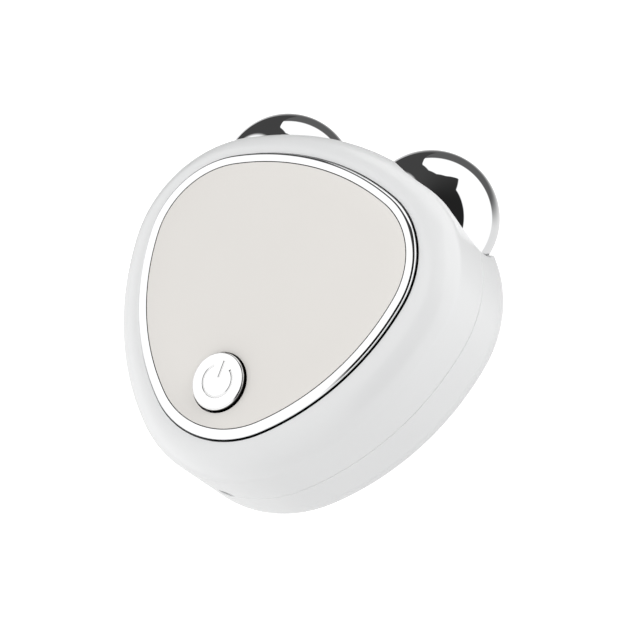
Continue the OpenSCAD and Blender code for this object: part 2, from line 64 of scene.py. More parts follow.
SEAM_Z, TOP_Z = (corner.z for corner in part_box("front_shell"))
RECESS_Z, RING_TOP_Z = (corner.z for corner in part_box("trim_ring"))
DOME_TOP_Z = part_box("face_plate")[1].z
BALL_MIDDLES = {side: middle_of("ball_" + side) for side in ("left", "right")}
BUTTON = middle_of("power_button")
CENTRE_Y = 0.7 * MM                  # from the middle of the whole length to the middle of the face

# The face's outline, round its middle
CORNER, CORNER_R = Vector((10.3, 5.6)) * MM, 15.4 * MM         # front corner
TAIL, TAIL_R = Vector((0, -9.8)) * MM, 16.8 * MM               # tail corner
SIDE_R, FRONT_R = 41 * MM, 43.7 * MM                           # long sides, and the edge between the balls

# Gaps round a piece that is dropped in, seated, or passes a moving one
DROP, SEAT, PASS = 0.1 * MM, 0.02 * MM, 0.3 * MM

# Housing
FACE_ROUND, BACK_ROUND = 5.3 * MM, 7 * MM
WALL, BACK_T, DECK_T = 1.8 * MM, 1.8 * MM, 1.6 * MM
DECK_Z = RECESS_Z - DECK_T                                     # underside of the deck below the face plate
CAVITY_OUT = FACE_ROUND - WALL
SEAM_GROOVE = 0.18 * MM
LIP_T, LIP_H = 0.8 * MM, 1.2 * MM                              # of the rear shell's lip inside the seam
GROOVE_W, GROOVE_T, LIP_ROUND = 0.2 * MM, 0.7 * MM, 0.1 * MM   # round the ring, and its edge's rounding
SOCKET_R, CUP_R, RIM_ROUND = 11.6 * MM, 13 * MM, 0.3 * MM      # the balls' sockets, and their rims
PORT_R, PORT_ROUND = 1.4 * MM, 0.15 * MM
BITE = 0.5 * MM                                                # how far a tool reaches into what it meets

# Screw posts and what else the shells hold
POST_R, SCREW_R, HEAD_R, COUNTERBORE = 2.6 * MM, 1 * MM, 1.9 * MM, 3.2 * MM
SIDE_POST, TAIL_POST = (POST_R + 2 * MM, 5), (POST_R + 1.3 * MM, 55)     # inset from the corner, and angle
PILOT_R, PILOT_DEPTH, SHOULDER_R = 0.82 * MM, 6 * MM, POST_R + 0.8 * MM
BOARD_POST, BOARD_POST_R = Vector((17.8, -5)) * MM, 1.9 * MM
BRACKET_POST, BRACKET_POST_R = Vector((14.6, 5.2)) * MM, 2.3 * MM
BOARD_Z, BRACKET_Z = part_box("main_board")[0].z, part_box("axle_bracket")[0].z
EAR_REACH, EAR_R, EAR_BOSS = 9.4 * MM, 2.2 * MM, 2 * MM        # bosses for the button guide's ears
RIB_T, RIB_GAP = 1 * MM, 0.1 * MM                              # beside the battery

# Ring and face plate
RING_W, RING_OUT, RING_SLOPE = 1.6 * MM, (0.8 * MM, 0.6 * MM), 0.2 * MM     # outer rounding, fall inwards
PLATE_IN, PLATE_ROUND, FILM_T = RING_W + 0.15 * MM, 0.06 * MM, 0.15 * MM
DOME_R, DOME_Y = 160 * MM, -2 * MM - CENTRE_Y
PLATE_EDGE_Z, EDGE_RUN = TOP_Z + 0.75 * MM, 7 * MM             # the dome's level edge, and how wide it is

# Power button
BUTTON_R, BUTTON_ROUND, BUTTON_HOLE_R = 4.8 * MM, 0.4 * MM, 5.06 * MM
BUTTON_PROUD, BUTTON_TRAVEL = 0.8 * MM, 0.6 * MM
FLANGE_R, FLANGE_T, STEM_R = 6 * MM, 0.8 * MM, 2 * MM
MARK_R, MARK_W, MARK_DEPTH = 2.7 * MM, 0.36 * MM, 0.12 * MM
MARK_ARC, MARK_BAR = (125, 290), (0.2, 1.05)                   # start and sweep; start and length in MARK_R
WIRE_R, COIL_TURNS, COIL_STEPS = 0.2 * MM, 5, 40               # of the return spring

# Balls
BALL_R, BALL_WALL, HUB_R, AXLE_SPLAY = 11.2 * MM, 1.6 * MM, 4.3 * MM, math.radians(25)
BUSH_R, BUSH_OUT, BUSH_COVER, COLLAR_R = 2.5 * MM, -2 * MM, 0.8 * MM, 2.4 * MM

# How near a face must lie to a true surface, and how well it must face the same way, to take its normals
SKIN_NEAR, RIM_NEAR, FINE_NEAR = 0.04 * MM, 0.03 * MM, 0.02 * MM
ALIGNED, ROUGHLY = 0.97, 0.9
TURNED_STEPS = 192                                             # round the button and the balls


# ---- The face's outline ----

class Arc:
    """One arc of the outline, with its centre, radius and the angles it runs between."""

    def __init__(self, centre, radius, start, end, steps):
        self.centre, self.radius, self.start, self.end, self.steps = centre, radius, start, end, steps

    def angles(self):
        return [self.start + (self.end - self.start) * i / self.steps for i in range(self.steps)]

    def miss(self, point):
        """How far, in radians, a point's direction lies outside the arc."""
        turned = (point - self.centre).to_tuple()
        angle = math.atan2(turned[1], turned[0])
        middle, half = (self.start + self.end) / 2, abs(self.end - self.start) / 2
        off = (angle - middle + math.pi) % (2 * math.pi) - math.pi
        return max(0.0, abs(off) - half)


class Outline:
    """Six arcs that touch each other, anticlockwise, and lines at any distance outside them."""

    def __init__(self, corner_steps, side_steps):
        to_tail = TAIL - CORNER
        span = to_tail.length
        along = to_tail / span
        across = Vector((along.y, -along.x))
        reach_a, reach_b = SIDE_R - CORNER_R, SIDE_R - TAIL_R
        foot = (reach_a ** 2 - reach_b ** 2 + span ** 2) / (2 * span)
        side = CORNER + along * foot + across * math.sqrt(reach_a ** 2 - foot ** 2)
        front = Vector((0, CORNER.y - math.sqrt((FRONT_R - CORNER_R) ** 2 - CORNER.x ** 2)))
        a_front = math.atan2(CORNER.y - front.y, CORNER.x - front.x)
        a_side = math.atan2(CORNER.y - side.y, CORNER.x - side.x)
        a_tail = math.atan2(TAIL.y - side.y, TAIL.x - side.x)
        flip = Vector((-1, 1))
        self.arcs = [
            Arc(CORNER, CORNER_R, a_side, a_front, corner_steps),
            Arc(front, FRONT_R, a_front, math.pi - a_front, side_steps),
            Arc(CORNER * flip, CORNER_R, math.pi - a_front, math.pi - a_side, corner_steps),
            Arc(side * flip, SIDE_R, math.pi - a_side, math.pi - a_tail, side_steps),
            Arc(TAIL, TAIL_R, math.pi - a_tail, 2 * math.pi + a_tail, corner_steps),
            Arc(side, SIDE_R, a_tail, a_side, side_steps),
        ]
        for arc in self.arcs:
            arc.centre = arc.centre - Vector((0, CENTRE_Y))
        self.count = sum(arc.steps for arc in self.arcs)

    def at(self, out, z):
        """Points of the line at a distance outside the outline, at height z."""
        return [
            Vector((arc.centre.x + (arc.radius + out) * math.cos(a),
                    arc.centre.y + (arc.radius + out) * math.sin(a), z))
            for arc in self.arcs for a in arc.angles()
        ]

    def measure(self, point):
        """How far a point lies outside the outline, and the outline's outward direction there."""
        flat = Vector((point[0], point[1]))
        arc = min(self.arcs, key=lambda one: one.miss(flat))
        spoke = flat - arc.centre
        return spoke.length - arc.radius, spoke.normalized()


FACE = Outline(corner_steps=56, side_steps=40)


# ---- Making meshes ----

def new_piece(name, points, faces):
    mesh = bpy.data.meshes.new(name)
    mesh.from_pydata([tuple(p) for p in points], [], faces)
    mesh.validate()
    piece = bpy.data.objects.new(name, mesh)
    bpy.context.scene.collection.objects.link(piece)
    return piece


def outward(piece):
    """Turns the faces of a closed shape outwards."""
    shape = bmesh.new()
    shape.from_mesh(piece.data)
    bmesh.ops.recalc_face_normals(shape, faces=shape.faces)
    shape.to_mesh(piece.data)
    shape.free()
    return piece


def tube(name, rings, closed=False):
    """A shape through rings of points that follow each other, closed by caps or back to its start."""
    n, count = len(rings[0]), len(rings)
    faces = []
    for i in range(count if closed else count - 1):
        for j in range(n):
            k, up = (j + 1) % n, (i + 1) % count
            faces.append((i * n + j, i * n + k, up * n + k, up * n + j))
    if not closed:
        faces += [tuple(reversed(range(n))), tuple(range((count - 1) * n, count * n))]
    return outward(new_piece(name, [p for ring in rings for p in ring], faces))


def loft(name, profile, closed=False):
    """A shape through the outline at each (distance outside it, height)."""
    return tube(name, [FACE.at(out, z) for out, z in profile], closed)


def edge(centre, rx, rz, start, end, steps):
    """A piece of an ellipse as (distance, height) places, between two angles in degrees."""
    turns = (math.radians(start + (end - start) * i / steps) for i in range(steps + 1))
    return [(centre[0] + rx * math.cos(a), centre[1] + rz * math.sin(a)) for a in turns]


def lathe(name, profile, steps, place=Matrix()):
    """A turned shape from (radius, height) places. It starts and ends on its axis."""
    points, rows, faces = [], [], []
    for r, z in profile:
        if r < 1e-9:
            rows.append([len(points)])
            points.append(place @ Vector((0, 0, z)))
            continue
        rows.append([len(points) + j for j in range(steps)])
        turns = (2 * math.pi * j / steps for j in range(steps))
        points += [place @ Vector((r * math.cos(a), r * math.sin(a), z)) for a in turns]
    for low, high in zip(rows, rows[1:]):
        for j in range(steps):
            k = (j + 1) % steps
            corners = [low[j % len(low)], low[k % len(low)], high[k % len(high)], high[j % len(high)]]
            faces.append(tuple(dict.fromkeys(corners)))
    return outward(new_piece(name, points, faces))


def cylinder(radius, z0, z1, place=Matrix(), steps=64):
    return lathe("tool", [(0, z0), (radius, z0), (radius, z1), (0, z1)], steps, place)


def ball_shape(radius, place, steps=160):
    """A full sphere round a place, with its poles sideways."""
    half = steps // 2
    profile = [(radius * math.sin(math.pi * i / half), -radius * math.cos(math.pi * i / half))
               for i in range(half + 1)]
    profile[0], profile[-1] = (0, -radius), (0, radius)
    return lathe("tool", profile, steps, Matrix.Translation(place) @ Matrix.Rotation(math.pi / 2, 4, "Y"))


def carve(piece, operation, *tools):
    """Cuts tools from a piece (DIFFERENCE), adds them (UNION) or keeps what they share (INTERSECT)."""
    for tool in tools:
        step = piece.modifiers.new("carve", "BOOLEAN")
        step.operation, step.solver, step.object = operation, "MANIFOLD", tool
    settle(piece)
    for tool in tools:
        bpy.data.objects.remove(tool)
    return piece


def settle(piece):
    """Turns a piece and its modifiers into a plain mesh."""
    bpy.context.view_layer.update()
    done = bpy.data.meshes.new_from_object(piece.evaluated_get(bpy.context.evaluated_depsgraph_get()))
    piece.modifiers.clear()
    piece.data = done
    done.name = piece.name
    return piece


def shade(piece, *surfaces, sharp=30):
    """Smooth shading with creases at sharp edges. A surface is a function of a face's middle and normal
    that gives None, or a function from a point to the true normal there."""
    mesh = piece.data
    mesh.polygons.foreach_set("use_smooth", [True] * len(mesh.polygons))
    mesh.set_sharp_from_angle(angle=math.radians(sharp))
    if surfaces:
        normals = [(0.0, 0.0, 0.0)] * len(mesh.loops)
        for face in mesh.polygons:
            found = next((f for f in (s(face.center, face.normal) for s in surfaces) if f), None)
            if found:
                for i in face.loop_indices:
                    normals[i] = tuple(found(mesh.vertices[mesh.loops[i].vertex_index].co))
        mesh.normals_split_custom_set(normals)
    return piece


def on_axle(side):
    """Along an axle: z runs from the ball's centre outward."""
    turn = -AXLE_SPLAY if side == "right" else AXLE_SPLAY
    return (Matrix.Translation(BALL_MIDDLES[side]) @ Matrix.Rotation(turn, 4, "Z")
            @ Matrix.Rotation(-math.pi / 2, 4, "X"))


# ---- The housing's surfaces, for its shading and its rims ----

FRONT_EDGE = (0.0, TOP_Z - FACE_ROUND)
BACK_EDGE = (FACE_ROUND - BACK_ROUND, BACK_ROUND)


def housing_skin(point):
    """Signed distance of a point outside the housing, and the skin's normal there."""
    out, spoke = FACE.measure(point)
    z = point[2]
    if z >= FRONT_EDGE[1]:
        centre, radius = FRONT_EDGE, FACE_ROUND
    elif z <= BACK_EDGE[1]:
        centre, radius = BACK_EDGE, BACK_ROUND
    else:
        return out - FACE_ROUND, Vector((spoke.x, spoke.y, 0))
    dx, dz = max(out - centre[0], 0.0), z - centre[1]
    reach = math.hypot(dx, dz)
    return reach - radius, Vector((spoke.x * dx, spoke.y * dx, dz)).normalized()


def housing_side(centre, normal):
    distance, true = housing_skin(centre)
    if abs(distance) < SKIN_NEAR and normal.dot(true) > ALIGNED:
        return lambda p: housing_skin(p)[1]
    return None


def socket_side(centre, normal):
    for middle in BALL_MIDDLES.values():
        inward = middle - centre
        if abs(inward.length - SOCKET_R) < SKIN_NEAR and normal.dot(inward.normalized()) > ALIGNED:
            return lambda p: (middle - p).normalized()
    return None


class Rim:
    """The rounding between a socket and the housing's skin: a ball of its radius rolls along both."""

    STEPS, HALVINGS, BETWEEN = 320, 40, 8     # places round the rim, tries at each, and points between two

    def __init__(self, side):
        self.middle, self.place = BALL_MIDDLES[side], on_axle(side)
        self.path = [self.touching(2 * math.pi * i / self.STEPS) for i in range(self.STEPS)]
        self.tree = KDTree(self.STEPS * self.BETWEEN)
        for i, point in enumerate(self.path):
            following = self.path[(i + 1) % self.STEPS]
            for j in range(self.BETWEEN):
                self.tree.insert(point.lerp(following, j / self.BETWEEN), i * self.BETWEEN + j)
        self.tree.balance()

    def touching(self, turn):
        """The rolling ball's middle, in one direction round the axle."""
        inside, outside = math.pi, 0.0
        for _ in range(self.HALVINGS):
            tilt = (inside + outside) / 2
            flat = math.sin(tilt)
            way = Vector((flat * math.cos(turn), flat * math.sin(turn), math.cos(tilt)))
            point = self.place @ (way * (SOCKET_R + RIM_ROUND))
            if housing_skin(point)[0] > -RIM_ROUND:
                outside = tilt
            else:
                inside = tilt
        return point

    def cutter(self, steps=8, over=0.06 * MM):
        """What the rounding takes away, from a little outside the corner."""
        rings = []
        for point in self.path:
            to_ball, to_skin = (self.middle - point).normalized(), housing_skin(point)[1]
            gap = to_ball.angle(to_skin)
            arc = [(to_ball * math.sin(gap * (1 - t)) + to_skin * math.sin(gap * t)) / math.sin(gap)
                   for t in (i / steps for i in range(steps + 1))]
            between = (to_ball + to_skin) / (1 + math.cos(gap))
            ring = [point + way * RIM_ROUND for way in arc]
            ring.append(point + to_skin * (RIM_ROUND + over))
            ring.append(point + between * (RIM_ROUND + over * 3))
            ring.append(point + to_ball * (RIM_ROUND + over))
            rings.append(ring)
        return tube("tool", rings, closed=True)

    def side(self, centre, normal):
        near, _, distance = self.tree.find(centre)
        if abs(distance - RIM_ROUND) < RIM_NEAR and normal.dot((centre - near).normalized()) > ROUGHLY:
            return lambda p: (p - self.tree.find(p)[0]).normalized()
        return None


RIMS = [Rim(side) for side in BALL_MIDDLES]


# ---- What repeats, or follows a path ----

def line_of(name, points, closed=False):
    """A helper of edges alone, which a tree turns into a curve."""
    mesh = bpy.data.meshes.new(name)
    count = len(points)
    mesh.from_pydata([tuple(p) for p in points],
                     [(i, (i + 1) % count) for i in range(count if closed else count - 1)], [])
    piece = bpy.data.objects.new(name, mesh)
    bpy.context.scene.collection.objects.link(piece)
    return piece


class Growth:
    """A Geometry Nodes tree with named inputs. It starts from an object's own mesh."""

    def __init__(self, name, slot, **inputs):
        self.name, self.values = name, {}
        self.tree = bpy.data.node_groups.new(name, "GeometryNodeTree")
        new_socket = self.tree.interface.new_socket
        new_socket("Geometry", in_out="OUTPUT", socket_type="NodeSocketGeometry")
        new_socket("Geometry", in_out="INPUT", socket_type="NodeSocketGeometry")
        for label, (kind, value) in inputs.items():
            socket = new_socket(label, in_out="INPUT", socket_type="NodeSocket" + kind)
            self.values[socket.identifier] = value
        self.start = self.tree.nodes.new("NodeGroupInput")
        self.finish = finishes[slot].material

    def given(self, label):
        return self.start.outputs[label]

    def own(self):
        return self.given("Geometry")

    def add(self, kind, settings=(), sockets=(), output=0):
        node = self.tree.nodes.new(kind)
        for name, value in dict(settings).items():
            setattr(node, name, value)
        for name, value in dict(sockets).items():
            if isinstance(value, bpy.types.NodeSocket):
                self.tree.links.new(value, node.inputs[name])
            else:
                node.inputs[name].default_value = value
        return node.outputs[output]

    def grow(self, geometry, base):
        """Runs the tree on the base, which becomes a plain mesh, and drops the helper objects."""
        real = self.add("GeometryNodeRealizeInstances", {}, {"Geometry": geometry})
        worn = self.add("GeometryNodeSetMaterial", {}, {"Geometry": real, "Material": self.finish})
        end = self.tree.nodes.new("NodeGroupOutput")
        self.tree.links.new(worn, end.inputs["Geometry"])
        step = base.modifiers.new("growth", "NODES")
        step.node_group = self.tree
        for identifier, value in self.values.items():
            step[identifier] = value
        base.name = self.name
        settle(base)
        for value in self.values.values():
            if isinstance(value, bpy.types.Object):
                bpy.data.objects.remove(value)
        return base


# ---- Housing ----

def port_cutter():
    """The round opening of the charging port, through the tail's wall."""
    y0 = TAIL.y - TAIL_R - FACE_ROUND - CENTRE_Y
    place = Matrix.Translation((0, y0, SEAM_Z)) @ Matrix.Rotation(-math.pi / 2, 4, "X")
    depth = WALL + LIP_T + BITE
    return lathe("tool", [(0, -MM), (PORT_R + MM, -MM), (PORT_R + PORT_ROUND, 0), (PORT_R, PORT_ROUND),
                          (PORT_R, depth), (0, depth)], 64, place)


def posts():
    """Places of the four screw posts."""
    a, b = math.radians(SIDE_POST[1]), math.radians(TAIL_POST[1])
    side = CORNER + (CORNER_R - SIDE_POST[0]) * Vector((math.cos(a), -math.sin(a)))
    tail = TAIL + (TAIL_R - TAIL_POST[0]) * Vector((math.sin(b), -math.cos(b)))
    return [Vector((s * p.x, p.y - CENTRE_Y, 0)) for p in (side, tail) for s in (1, -1)]


def uprights(places, radius, z0, z1):
    """Upright cylinders at places."""
    return [cylinder(radius, z0, z1, Matrix.Translation((place.x, place.y, 0)), 48) for place in places]


def both_sides(place):
    """A place of the part's source, on the right and on the left."""
    return [Vector((s * place.x, place.y - CENTRE_Y)) for s in (1, -1)]


def battery_ribs():
    """Low ribs along the battery, half as long as it is."""
    low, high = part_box("battery")
    half, top = (high.x - low.x) / 4, low.z + (high.z - low.z) / 4
    ribs = []
    for y in (low.y - RIB_GAP - RIB_T, high.y + RIB_GAP):
        corners = ((-half, y), (half, y), (half, y + RIB_T), (-half, y + RIB_T))
        ribs.append(tube("tool", [[Vector((*corner, z)) for corner in corners] for z in (BACK_T / 2, top)]))
    return ribs


def cut_both(shell):
    """The sockets, the axles' openings, the rims' roundings and the port."""
    for side, middle in BALL_MIDDLES.items():
        carve(shell, "DIFFERENCE", ball_shape(SOCKET_R, middle))
        carve(shell, "DIFFERENCE", cylinder(COLLAR_R + PASS, -CUP_R - MM, -SOCKET_R + MM, on_axle(side)))
    for rim in RIMS:
        carve(shell, "DIFFERENCE", rim.cutter())
    return carve(shell, "DIFFERENCE", port_cutter())


def make_front_shell():
    """The upper half, with its cups, posts, bosses and openings."""
    deck = DECK_Z - FRONT_EDGE[1]
    outside = [(FACE_ROUND - SEAM_GROOVE, SEAM_Z), (FACE_ROUND, SEAM_Z + SEAM_GROOVE)]
    brink = math.degrees(math.acos((GROOVE_W + LIP_ROUND) / FACE_ROUND))
    outside += edge(FRONT_EDGE, FACE_ROUND, FACE_ROUND, 0, brink, 24)
    outside += edge((GROOVE_W + LIP_ROUND, outside[-1][1] - LIP_ROUND), LIP_ROUND, LIP_ROUND, 105, 180, 4)
    inside = list(reversed(edge(FRONT_EDGE, CAVITY_OUT, deck, 0, 90, 12)))
    lip_out, lip_z = CAVITY_OUT + LIP_T + DROP, SEAM_Z + LIP_H + DROP
    shell = loft("front_shell_fine", inside + [(CAVITY_OUT, lip_z), (lip_out, lip_z), (lip_out, SEAM_Z)]
                 + outside + [(GROOVE_W, TOP_Z - GROOVE_T), (0, TOP_Z - GROOVE_T), (0, RECESS_Z)])
    for middle in BALL_MIDDLES.values():
        cup = carve(ball_shape(CUP_R, middle), "INTERSECT", loft("tool", outside[1:]))
        carve(shell, "UNION", cup)
    for place in posts():
        here = Matrix.Translation(place)
        carve(shell, "UNION", cylinder(POST_R, SEAM_Z, DECK_Z + BITE, here))
        carve(shell, "DIFFERENCE", cylinder(SCREW_R + SEAT, SEAM_Z - MM, SEAM_Z + PILOT_DEPTH, here))
    ears = [Vector((0, BUTTON.y + reach)) for reach in (-EAR_REACH, EAR_REACH)]
    carve(shell, "UNION", *uprights(ears, EAR_R, DECK_Z - EAR_BOSS, DECK_Z + BITE))
    carve(shell, "DIFFERENCE", *uprights(ears, PILOT_R, DECK_Z - 2 * EAR_BOSS, DECK_Z + EAR_BOSS / 2))
    button = Matrix.Translation((0, BUTTON.y, 0))
    carve(shell, "DIFFERENCE", cylinder(BUTTON_HOLE_R, DECK_Z - MM, TOP_Z, button, 128))
    cut_both(shell)
    return shade(shell, housing_side, socket_side, *(rim.side for rim in RIMS))


def make_rear_shell():
    """The lower half, with its lip, cups, posts, battery ribs and openings."""
    outside = edge(BACK_EDGE, BACK_ROUND, BACK_ROUND, -90, 0, 28)
    outside += [(FACE_ROUND, SEAM_Z - SEAM_GROOVE), (FACE_ROUND - SEAM_GROOVE, SEAM_Z)]
    inside = list(reversed(edge(BACK_EDGE, BACK_ROUND - WALL, BACK_ROUND - BACK_T, -90, 0, 14)))
    lip_z = SEAM_Z + LIP_H
    shell = loft("rear_shell_fine", outside + [(CAVITY_OUT + LIP_T, SEAM_Z), (CAVITY_OUT + LIP_T, lip_z),
                                               (CAVITY_OUT, lip_z)] + inside)
    for middle in BALL_MIDDLES.values():
        cup = carve(ball_shape(CUP_R, middle), "INTERSECT", loft("tool", outside[:-1]))
        carve(shell, "UNION", cup)
    for place in posts():
        here = Matrix.Translation(place)
        carve(shell, "UNION", cylinder(POST_R, BACK_T / 2, SEAM_Z, here))
        if place.y < TAIL.y - CENTRE_Y:                        # the tail's posts carry the board too
            carve(shell, "UNION", cylinder(SHOULDER_R, BACK_T / 2, BOARD_Z, here))
        carve(shell, "DIFFERENCE", cylinder(SCREW_R + DROP, BACK_T, SEAM_Z + MM, here))
        carve(shell, "DIFFERENCE", cylinder(HEAD_R + DROP, -MM, COUNTERBORE, here))
    board, bracket = both_sides(BOARD_POST), both_sides(BRACKET_POST)
    carve(shell, "UNION", *battery_ribs(), *uprights(board, BOARD_POST_R, BACK_T / 2, BOARD_Z),
          *uprights(bracket, BRACKET_POST_R, BACK_T / 2, BRACKET_Z))
    carve(shell, "DIFFERENCE", *uprights(board, PILOT_R, BOARD_Z - PILOT_DEPTH, BOARD_Z + MM),
          *uprights(bracket, PILOT_R, BACK_T / 2, BRACKET_Z + MM))
    cut_both(shell)
    return shade(shell, housing_side, socket_side, *(rim.side for rim in RIMS))


# ---- Face ----

def make_trim_ring():
    """The ring's section, swept along the face's outline."""
    section = [(-SEAT, RECESS_Z)]
    section += edge((-SEAT - RING_OUT[0], RING_TOP_Z - RING_OUT[1]), *RING_OUT, 0, 90, 14)
    section += [(-RING_W, RING_TOP_Z - RING_SLOPE), (-RING_W, RECESS_Z)]
    path = line_of("path", FACE.at(0, 0), True)
    profile = line_of("profile", [(out, -z, 0) for out, z in section], True)   # its y runs downwards
    g = Growth("trim_ring_fine", "ring_chrome", Section=("Object", profile))
    rail = g.add("GeometryNodeMeshToCurve", {}, {"Mesh": g.own()})
    rail = g.add("GeometryNodeSetCurveNormal", {"mode": "Z_UP"}, {"Curve": rail})
    shape = g.add("GeometryNodeObjectInfo", {}, {"Object": g.given("Section")}, "Geometry")
    shape = g.add("GeometryNodeMeshToCurve", {}, {"Mesh": shape})
    ring = g.add("GeometryNodeCurveToMesh", {}, {"Curve": rail, "Profile Curve": shape})
    return shade(outward(g.grow(ring, path)), sharp=40)


def dome(x, y):
    """Height of the face plate: a dome whose edge is drawn to one level."""
    height = DOME_TOP_Z - DOME_R + math.sqrt(DOME_R ** 2 - x ** 2 - (y - DOME_Y) ** 2)
    inside = min(max(-FACE.measure((x, y))[0] - PLATE_IN, 0.0), EDGE_RUN)
    return height + (PLATE_EDGE_Z - height) * (1 - inside / EDGE_RUN) ** 2


def on_dome(points, down=0.0):
    return [Vector((p.x, p.y, dome(p.x, p.y) - down)) for p in points]


def dome_normal(p, step=0.05 * MM):
    x, y, _ = p
    rise_x = dome(x + step, y) - dome(x - step, y)
    rise_y = dome(x, y + step) - dome(x, y - step)
    return Vector((-rise_x, -rise_y, 2 * step)).normalized()


def plate_side(centre, normal):
    if normal.z < ROUGHLY or centre[2] < dome(centre[0], centre[1]) - FINE_NEAR:
        return None
    return dome_normal


def make_face_plate():
    """The plate's outline, a small rounding along its edge, and the dome in to its middle."""
    rings = [FACE.at(-PLATE_IN, RECESS_Z + FILM_T)]
    for out, up in edge((-PLATE_IN - PLATE_ROUND, -PLATE_ROUND), PLATE_ROUND, PLATE_ROUND, 0, 90, 5):
        rings.append(on_dome(FACE.at(out, 0), -up))
    run, outer, inner = CORNER_R - PLATE_IN - 2 * MM, 24, 12      # first along the outline, then to a point
    rings += [on_dome(FACE.at(-PLATE_IN - PLATE_ROUND - run * i / outer, 0)) for i in range(1, outer + 1)]
    middle, last = Vector((0, DOME_Y, 0)), rings[-1]
    rings += [on_dome([middle.lerp(p, 1 - i / inner) for p in last]) for i in range(1, inner)]
    plate = tube("face_plate_fine", rings)
    carve(plate, "DIFFERENCE",
          cylinder(BUTTON_HOLE_R, RECESS_Z, DOME_TOP_Z + MM, Matrix.Translation((0, BUTTON.y, 0)), 128))
    return shade(plate, plate_side)


# ---- Power button ----

CAP_Z = dome(0, BUTTON.y) + BUTTON_PROUD                        # the middle of the cap's face
SLOPE = math.tan(math.asin((DOME_Y - BUTTON.y) / DOME_R))       # of that face, as of the plate round it
MARK_BOW = (MARK_W ** 2 / 4 + MARK_DEPTH ** 2) / (2 * MARK_DEPTH)     # radius of the mark's round grooves


def lean(points):
    """Gives points of the cap the lean of its face."""
    return [Vector((p[0], p[1], p[2] + (p[1] - BUTTON.y) * SLOPE)) for p in points]


def mark_lines(arc_steps=160, bar_steps=40):
    """The middles of the mark's grooves: an open ring, and a bar through its gap."""
    z = CAP_Z + MARK_BOW - MARK_DEPTH
    turns = (math.radians(MARK_ARC[0] + MARK_ARC[1] * i / arc_steps) for i in range(arc_steps + 1))
    ring = [Vector((MARK_R * math.cos(a), MARK_R * math.sin(a) + BUTTON.y, z)) for a in turns]
    shares = (MARK_BAR[0] + MARK_BAR[1] * i / bar_steps for i in range(bar_steps + 1))
    return ring, [Vector((0, MARK_R * share + BUTTON.y, z)) for share in shares]


def mark_cutters(sides=48):
    """Round tubes along the mark's lines."""
    tools = []
    for line in mark_lines():
        rings = []
        for i, spot in enumerate(line):
            along = (line[min(i + 1, len(line) - 1)] - line[max(i - 1, 0)]).normalized()
            across = Vector((along.y, -along.x, 0))
            turns = (2 * math.pi * k / sides for k in range(sides))
            rings.append(lean([spot + MARK_BOW * (across * math.cos(a) + Vector((0, 0, math.sin(a))))
                               for a in turns]))
        tools.append(tube("tool", rings))
    return tools


MARK_SPOTS = lean([p for line in mark_lines() for p in line])
MARK_TREE = KDTree(len(MARK_SPOTS))
for i, spot in enumerate(MARK_SPOTS):
    MARK_TREE.insert(spot, i)
MARK_TREE.balance()


def mark_side(centre, normal):
    near, _, distance = MARK_TREE.find(centre)
    if abs(distance - MARK_BOW) < FINE_NEAR and normal.dot((near - centre).normalized()) > ROUGHLY:
        return lambda p: (MARK_TREE.find(p)[0] - p).normalized()
    return None


def make_power_button():
    """Stem, flange and cap in one, with the cap leaned and its mark cut."""
    stem_z, flange_z, flange_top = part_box("power_button")[0].z, DECK_Z - SEAT - FLANGE_T, DECK_Z - SEAT
    foot = [(0, stem_z), (STEM_R, stem_z), (STEM_R, flange_z), (FLANGE_R, flange_z), (FLANGE_R, flange_top),
            (BUTTON_R, flange_top)]
    cap = edge((BUTTON_R - BUTTON_ROUND, CAP_Z - BUTTON_ROUND), BUTTON_ROUND, BUTTON_ROUND, 0, 90, 10)
    button = lathe("power_button_fine", foot + cap + [(0, CAP_Z)], TURNED_STEPS,
                   Matrix.Translation((0, BUTTON.y, 0)))
    for vertex in button.data.vertices:
        if vertex.co.z > flange_top + DROP:
            vertex.co = lean([vertex.co])[0]
    carve(button, "DIFFERENCE", *mark_cutters())
    return shade(button, mark_side, sharp=35)


def make_return_spring():
    """A round wire, swept along a coil between the guide's floor and the button's flange."""
    low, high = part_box("return_spring")
    radius, rise = (high.x - low.x) / 2 - WIRE_R, (high.z - low.z - 2 * WIRE_R) / COIL_TURNS
    points = []
    for i in range(COIL_TURNS * COIL_STEPS + 1):
        turns = i / COIL_STEPS
        a = 2 * math.pi * turns
        z = low.z + WIRE_R + rise * turns
        points.append((radius * math.cos(a), BUTTON.y + radius * math.sin(a), z))
    path = line_of("path", points)
    g = Growth("return_spring_fine", "spring_steel", Wire_Radius=("Float", WIRE_R))
    rail = g.add("GeometryNodeMeshToCurve", {}, {"Mesh": g.own()})
    ring = g.add("GeometryNodeCurvePrimitiveCircle", {"mode": "RADIUS"},
                 {"Resolution": 16, "Radius": g.given("Wire_Radius")})
    coil = g.add("GeometryNodeCurveToMesh", {}, {"Curve": rail, "Profile Curve": ring, "Fill Caps": True})
    return shade(outward(g.grow(coil, path)), sharp=60)


# ---- Rolling balls ----

def round_to(radius, opening, steps):
    """(radius, height) places of a sphere, from its outer pole to an opening at the other end."""
    end = math.acos(-math.sqrt(radius ** 2 - opening ** 2) / radius)
    turns = (end * i / steps for i in range(1, steps + 1))
    return [(0, radius)] + [(radius * math.sin(a), radius * math.cos(a)) for a in turns]


def make_ball(side):
    """A hollow ball with a hub for its bush, open at the bore."""
    bore, inner, hub_z = BUSH_R + SEAT, BALL_R - BALL_WALL, BUSH_OUT + BUSH_COVER
    profile = round_to(BALL_R, bore, 120) + [(bore, hub_z), (HUB_R, hub_z)]
    profile += reversed(round_to(inner, HUB_R, 32))
    ball = lathe("ball_" + side + "_fine", profile, TURNED_STEPS, on_axle(side))
    middle = BALL_MIDDLES[side]

    def outside(centre, normal):
        if abs((centre - middle).length - BALL_R) < FINE_NEAR:
            return lambda p: (p - middle).normalized()
        return None
    return shade(ball, outside)


# ---- Finishes ----

